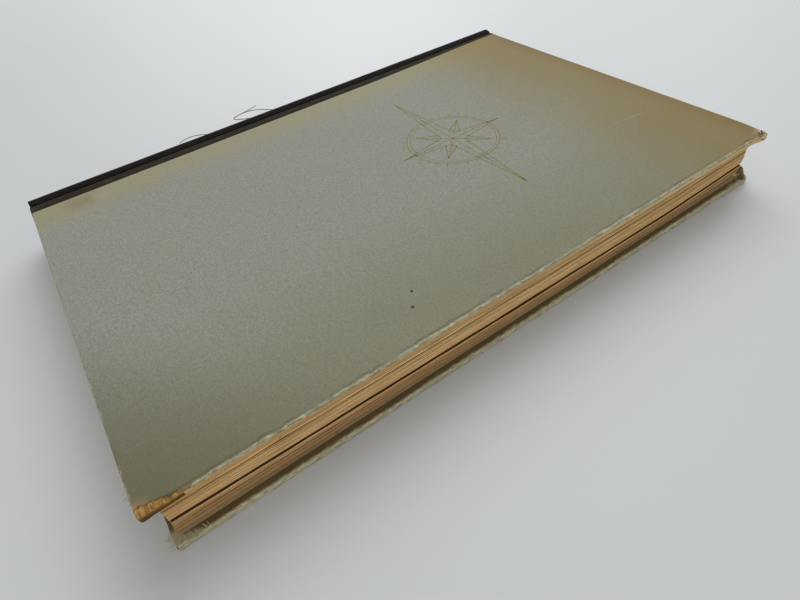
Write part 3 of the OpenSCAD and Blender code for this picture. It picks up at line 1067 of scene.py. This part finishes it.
def thread_tree(name):
    """Scatters short bent threads along a guide line: inputs set how many, how long, how thick."""
    tree = bpy.data.node_groups.new(name, "GeometryNodeTree")
    face = tree.interface
    face.new_socket("Geometry", in_out="INPUT", socket_type="NodeSocketGeometry")
    face.new_socket("Geometry", in_out="OUTPUT", socket_type="NodeSocketGeometry")
    sockets = {}
    for label, kind, value in (("Count", "NodeSocketInt", 60), ("Length", "NodeSocketFloat", 0.002),
                               ("Thickness", "NodeSocketFloat", 0.0001), ("Spread", "NodeSocketFloat", 0.5),
                               ("Seed", "NodeSocketInt", 1), ("Finish", "NodeSocketMaterial", None)):
        socket = face.new_socket(label, in_out="INPUT", socket_type=kind)
        if value is not None:
            socket.default_value = value
        sockets[label] = socket.identifier

    def add(kind, settings=None, values=None):
        node = tree.nodes.new(kind)
        for key, value in (settings or {}).items():
            setattr(node, key, value)
        for key, value in (values or {}).items():
            if isinstance(value, bpy.types.NodeSocket):
                tree.links.new(value, node.inputs[key])
            else:
                node.inputs[key].default_value = value
        return node

    inside, outside = add("NodeGroupInput"), add("NodeGroupOutput")
    guide = add("GeometryNodeMeshToCurve", {}, {0: inside.outputs["Geometry"]})
    places = add("GeometryNodeCurveToPoints", {"mode": "COUNT"},
                 {"Curve": guide.outputs[0], "Count": inside.outputs["Count"]})
    arc = add("GeometryNodeCurveArc", {"mode": "POINTS"},
              {"Resolution": 6, "Start": (0, 0, 0), "Middle": (0.18, 0.06, 0.5), "End": (0, 0.1, 1.0)})
    low_spread = add("ShaderNodeMath", {"operation": "MULTIPLY"}, {0: inside.outputs["Spread"], 1: -1.0})
    turn = add("FunctionNodeRandomValue", {"data_type": "FLOAT"},
               {2: low_spread.outputs[0], 3: inside.outputs["Spread"], "Seed": inside.outputs["Seed"]})
    lean = add("FunctionNodeRandomValue", {"data_type": "FLOAT"},
               {2: low_spread.outputs[0], 3: inside.outputs["Spread"],
                "ID": add("GeometryNodeInputIndex").outputs[0],
                "Seed": add("ShaderNodeMath", {"operation": "ADD"},
                            {0: inside.outputs["Seed"], 1: 7.0}).outputs[0]})
    angles = add("ShaderNodeCombineXYZ", {}, {0: turn.outputs[1], 1: lean.outputs[1], 2: 0.0})
    size = add("FunctionNodeRandomValue", {"data_type": "FLOAT"},
               {2: 0.35, 3: 1.0, "Seed": inside.outputs["Seed"]})
    scale = add("ShaderNodeMath", {"operation": "MULTIPLY"},
                {0: size.outputs[1], 1: inside.outputs["Length"]})
    spots = add("GeometryNodeInstanceOnPoints", {},
                {"Points": places.outputs["Points"], "Instance": arc.outputs[0],
                 "Rotation": angles.outputs[0], "Scale": scale.outputs[0]})
    real = add("GeometryNodeRealizeInstances", {}, {0: spots.outputs[0]})
    section_ring = add("GeometryNodeCurvePrimitiveCircle", {"mode": "RADIUS"},
                       {"Resolution": 5, "Radius": inside.outputs["Thickness"]})
    solid = add("GeometryNodeCurveToMesh", {},
                {"Curve": real.outputs[0], "Profile Curve": section_ring.outputs[0], "Fill Caps": True})
    last = add("GeometryNodeSetMaterial", {},
               {"Geometry": solid.outputs[0], "Material": inside.outputs["Finish"]})
    tree.links.new(last.outputs[0], outside.inputs[0])
    return tree, sockets


THREADS, THREAD_SOCKETS = thread_tree("bent_threads")


def threads(name, guide, body, slot, finish_material, **inputs):
    """Threads along a guide line of points, made plain and set to ride on a body."""
    piece = make(name, guide, [], finish_material)
    piece.data.clear_geometry()
    piece.data.from_pydata([tuple(p) for p in guide], [(i, i + 1) for i in range(len(guide) - 1)], [])
    grow = piece.modifiers.new("threads", "NODES")
    grow.node_group = THREADS
    for label, value in inputs.items():
        grow[THREAD_SOCKETS[label]] = value
    grow[THREAD_SOCKETS["Finish"]] = finish_material
    finish(piece)
    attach(piece, body)
    return piece


def row_mm(*places):
    return [Vector(p) * MM for p in places]


T_MM = THICK / MM                       # guides are in millimetres, thread sizes in metres
threads("front_head_corner_fray",
        row_mm((70.3, 107.6, T_MM - 0.9), (72.2, 106.0, T_MM - 1.0), (72.6, 103.5, T_MM - 1.1)),
        "front_cover", "book_cloth", LOOSE_THREAD,
        Count=26, Length=0.0026, Thickness=0.00007, Spread=1.5, Seed=3)
threads("front_tail_corner_fray",
        row_mm((66.0, -107.9, T_MM - 1.2), (71.0, -107.6, T_MM - 1.3), (72.0, -100.0, T_MM - 1.2)),
        "front_cover", "cover_paper", KRAFT, Count=34, Length=0.0016, Thickness=0.00005, Spread=1.6, Seed=5)
threads("back_tail_corner_fray", row_mm((69.0, -107.9, 1.4), (72.0, -106.5, 1.5), (72.5, -98.0, 1.5)),
        "back_cover", "cover_paper", MULL, Count=60, Length=0.0020, Thickness=0.00005, Spread=1.4, Seed=8)
threads("back_head_corner_fray", row_mm((68.0, 107.8, 1.4), (72.0, 105.5, 1.5), (72.5, 96.0, 1.5)),
        "back_cover", "cover_paper", MULL, Count=50, Length=0.0022, Thickness=0.00005, Spread=1.4, Seed=9)
threads("spine_head_fray", row_mm((-72.8, 109.3, 4.0), (-72.9, 109.3, T_MM - 3.0)),
        "spine", "book_cloth", LOOSE_THREAD, Count=40, Length=0.0014, Thickness=0.00006, Spread=1.7, Seed=11)


def loose_thread(name, places, radius):
    """One long thread pulled out of the cloth."""
    curve = bpy.data.curves.new(name, "CURVE")
    curve.dimensions = "3D"
    curve.bevel_depth = radius
    curve.bevel_resolution = 2
    curve.use_fill_caps = True
    spline = curve.splines.new("NURBS")
    spline.points.add(len(places) - 1)
    for point, place in zip(spline.points, places):
        point.co = (*(c * MM for c in place), 1.0)
    spline.use_endpoint_u = True
    spline.order_u = 4
    shape = bpy.data.objects.new(name + "_line", curve)
    bpy.context.collection.objects.link(shape)
    graph = bpy.context.evaluated_depsgraph_get()
    mesh = bpy.data.meshes.new_from_object(shape.evaluated_get(graph))
    bpy.data.objects.remove(shape)
    mesh.materials.clear()
    mesh.materials.append(LOOSE_THREAD)
    piece = bpy.data.objects.new(name, mesh)
    bpy.context.collection.objects.link(piece)
    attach(piece, "spine")


loose_thread("loose_thread_long",
             [(-72.9, -7, T_MM - 1.6), (-74.4, -11, T_MM - 0.6), (-75.8, -15, T_MM + 0.4),
              (-76.4, -19, T_MM + 0.8), (-76.8, -23, T_MM + 0.5), (-77.0, -26, T_MM - 0.4),
              (-76.2, -25, T_MM - 1.0), (-75.0, -21, T_MM - 1.3), (-73.4, -17, T_MM - 1.8)], 0.00013)
loose_thread("loose_thread_loop",
             [(-76.9, -25, T_MM + 0.0), (-76.3, -21, T_MM + 0.9), (-76.2, -18, T_MM + 1.2),
              (-76.6, -16, T_MM + 1.5), (-77.0, -14.5, T_MM + 1.6)], 0.00011)
loose_thread("loose_thread_short",
             [(-73.0, -36, T_MM - 2.0), (-74.8, -39, T_MM - 1.4), (-76.4, -43, T_MM - 1.0),
              (-77.2, -47, T_MM - 1.2), (-76.6, -50, T_MM - 1.9)], 0.00012)


# ---------------------------------------------------------------- CAD pieces that keep their shape

KEPT = {
    "front_pastedown": END_PAPER, "back_pastedown": END_PAPER,
    "front_flyleaf": END_PAPER, "rear_flyleaf": END_PAPER,
    "front_mull": MULL, "back_mull": MULL, "rear_spine_mull": MULL, "front_spine_mull": MULL,
    "rear_lining": KRAFT, "front_lining": KRAFT, "spine_card": BOARD,
    "rear_sewing": LINEN, "front_sewing": LINEN,
}
for node, material in KEPT.items():
    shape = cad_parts[node]
    if not shape.material_slots:
        shape.data.materials.append(material)
    for slot in shape.material_slots:
        slot.material = material


# ---------------------------------------------------------------- floor, light, camera

def table_top():
    """The pale floor that the book lies on."""
    mesh = bpy.data.meshes.new("table_top")
    size = 4.0
    corners = [(-size, -size, 0), (size, -size, 0), (size, size, 0), (-size, size, 0)]
    mesh.from_pydata(corners, [], [(0, 1, 2, 3)])
    floor = bpy.data.objects.new("table_top", mesh)
    bpy.context.collection.objects.link(floor)
    p = Paint("pale_table", roughness=0.45, specular=0.35)
    p.colour(p.mix(p.cloud(400, 2, 0.5), linear(196, 200, 203), linear(204, 208, 211)))
    mesh.materials.append(p.material)


def lamp(name, place, aim, size, power, tint):
    """A soft rectangular light at a place, turned towards what it lights."""
    light = bpy.data.lights.new(name, "AREA")
    light.shape = "RECTANGLE"
    light.size, light.size_y = size
    light.energy = power
    light.color = tint
    piece = bpy.data.objects.new(name, light)
    bpy.context.collection.objects.link(piece)
    piece.location = place
    piece.rotation_euler = (Vector(aim) - Vector(place)).to_track_quat("-Z", "Y").to_euler()


table_top()
lamp("window", (-0.6, 0.65, 0.9), (-0.05, 0.02, 0), (1.2, 1.2), 10.3, (1.0, 0.995, 0.985))
lamp("ceiling", (0.35, -0.45, 1.0), (0, 0, 0), (1.4, 1.4), 1.7, (1.0, 0.985, 0.96))
lamp("low_bounce", (0.75, -0.45, 0.28), (0.07, 0, 0.01), (0.9, 0.5), 1.7, (1.0, 0.97, 0.92))
lamp("far_wall", (-0.9, 0.35, 0.6), (-0.5, 0.15, 0), (0.8, 0.8), 3.0, (1.0, 1.0, 1.0))

world = bpy.data.worlds.new("room")
bpy.context.scene.world = world
world.use_nodes = True
room = world.node_tree.nodes["Background"]
room.inputs[0].default_value = (0.90, 0.895, 0.88, 1.0)
room.inputs[1].default_value = 0.42

# the camera stands off the fore and tail corner and looks down across the cover:
# its compass turn from looking along +Y, how far its line of sight is lifted from
# straight down, and how far it is tilted sideways
EYE = Vector((143.0 * MM, -82.6 * MM, THICK + 99.8 * MM))
TURN, LIFT, TILT = math.radians(60.23), math.radians(44.77), math.radians(-7.50)
camera_data = bpy.data.cameras.new("camera")
camera_data.sensor_width = 36.0
camera_data.lens = 24.03
camera_data.clip_start = 0.005
camera = bpy.data.objects.new("camera", camera_data)
bpy.context.collection.objects.link(camera)
camera.matrix_world = (Matrix.Translation(EYE) @ Matrix.Rotation(TURN, 4, "Z")
                       @ Matrix.Rotation(LIFT, 4, "X") @ Matrix.Rotation(TILT, 4, "Z"))
bpy.context.scene.camera = camera
bpy.context.scene.view_settings.view_transform = "Standard"
